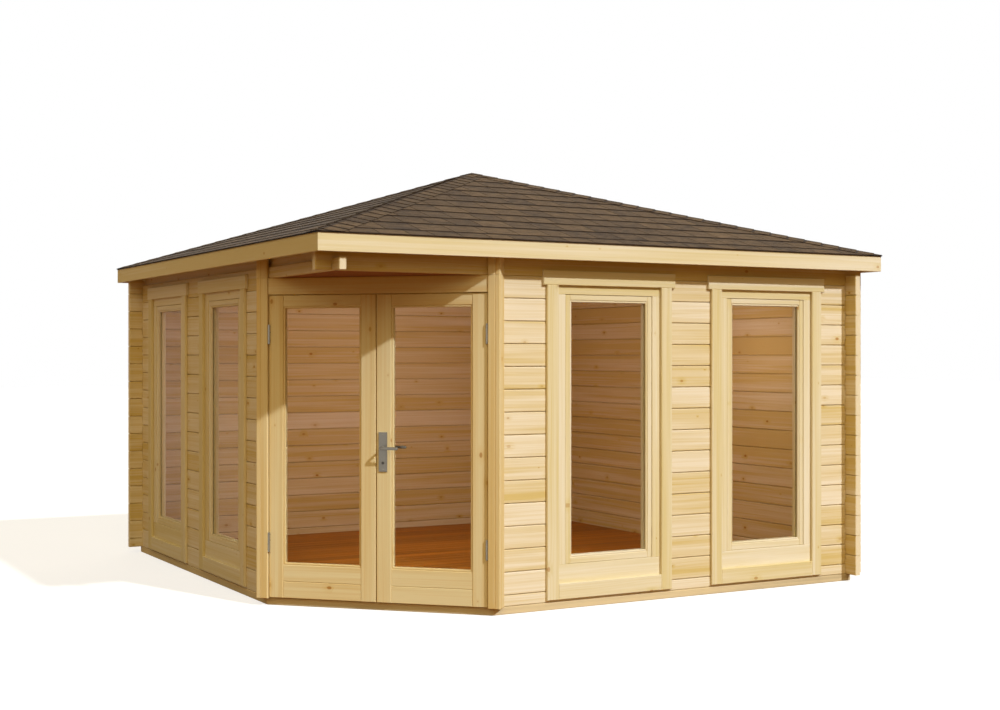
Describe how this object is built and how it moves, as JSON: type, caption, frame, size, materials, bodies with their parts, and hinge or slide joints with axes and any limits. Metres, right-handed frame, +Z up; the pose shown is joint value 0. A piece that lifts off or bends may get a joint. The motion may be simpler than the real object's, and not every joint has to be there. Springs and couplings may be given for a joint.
{
  "type": "corner summer house",
  "caption": "Square log summer house with a pyramid roof, full-height windows, and double glazed doors set across a cut-off corner under a small porch.",
  "frame": {"origin": "on the ground under the middle of the house", "axes": "+Z up, the front wall with the row of windows faces -Y, the left wall faces -X, and the doors face the corner between them"},
  "size_m": [4.1, 4.1, 2.8634],
  "materials": {
    "log_wood": "bare planed spruce with knots",
    "frame_wood": "bare planed spruce with knots",
    "bearer_wood": "bare sawn spruce",
    "floor_wood": "warm oiled spruce boards",
    "roof_board_wood": "bare planed boards",
    "window_glass": "clear flat glass",
    "hinge_steel": "zinc plated steel",
    "plate_steel": "satin grey steel",
    "shingle": "matt mineral-faced shingles, brown grey"
  },
  "bodies": {
    "root": {"base_frame": "bearer_wood", "floor_boards": "floor_wood", "front_wall": "log_wood", "left_wall": "log_wood", "back_wall": "log_wood", "right_wall": "log_wood", "front_top_log": "log_wood", "left_top_log": "log_wood", "front_back_plates": "frame_wood", "side_plates": "frame_wood", "left_corner_post": "frame_wood", "right_corner_post": "frame_wood", "left_door_jamb": "frame_wood", "right_door_jamb": "frame_wood", "door_head": "frame_wood", "door_threshold": "frame_wood", "porch_soffit": "floor_wood", "front_near_window_casing": "frame_wood", "front_near_window_frame": "frame_wood", "front_far_window_casing": "frame_wood", "front_far_window_frame": "frame_wood", "left_near_window_casing": "frame_wood", "left_near_window_frame": "frame_wood", "left_far_window_casing": "frame_wood", "left_far_window_frame": "frame_wood", "front_window_glass": "window_glass", "left_window_glass": "window_glass", "jamb_hinges": "hinge_steel", "front_back_roof_boards": "roof_board_wood", "side_roof_boards": "roof_board_wood", "roof_rafters": "frame_wood", "roof_shingles": "shingle", "front_fascia": "frame_wood", "left_fascia": "frame_wood", "back_fascia": "frame_wood", "right_fascia": "frame_wood"},
    "left_door": {"left_door_leaf": "frame_wood", "left_door_glass": "window_glass", "left_leaf_hinges": "hinge_steel"},
    "right_door": {"right_door_leaf": "frame_wood", "right_door_glass": "window_glass", "right_leaf_hinges": "hinge_steel", "handle_plates": "plate_steel", "lock_cylinder": "hinge_steel"},
    "handle": {"handle_lever": "plate_steel"}
  },
  "joints": [
    {"name": "left_door_swing", "type": "hinge", "parent": "root", "child": "left_door", "pos_m": [-1.90424, -0.92419, 1], "axis": [0, 0, -1], "range_deg": [0, 120]},
    {"name": "right_door_swing", "type": "hinge", "parent": "root", "child": "right_door", "pos_m": [-0.92419, -1.90424, 1], "axis": [0, 0, 1], "range_deg": [0, 120]},
    {"name": "lever_turn", "type": "hinge", "parent": "right_door", "child": "handle", "pos_m": [-1.37709, -1.44144, 0.976], "axis": [0.7071, 0.7071, 0], "range_deg": [0, 40], "stiffness_Nm_per_rad": 1.5, "springref_deg": -28.65}
  ]
}
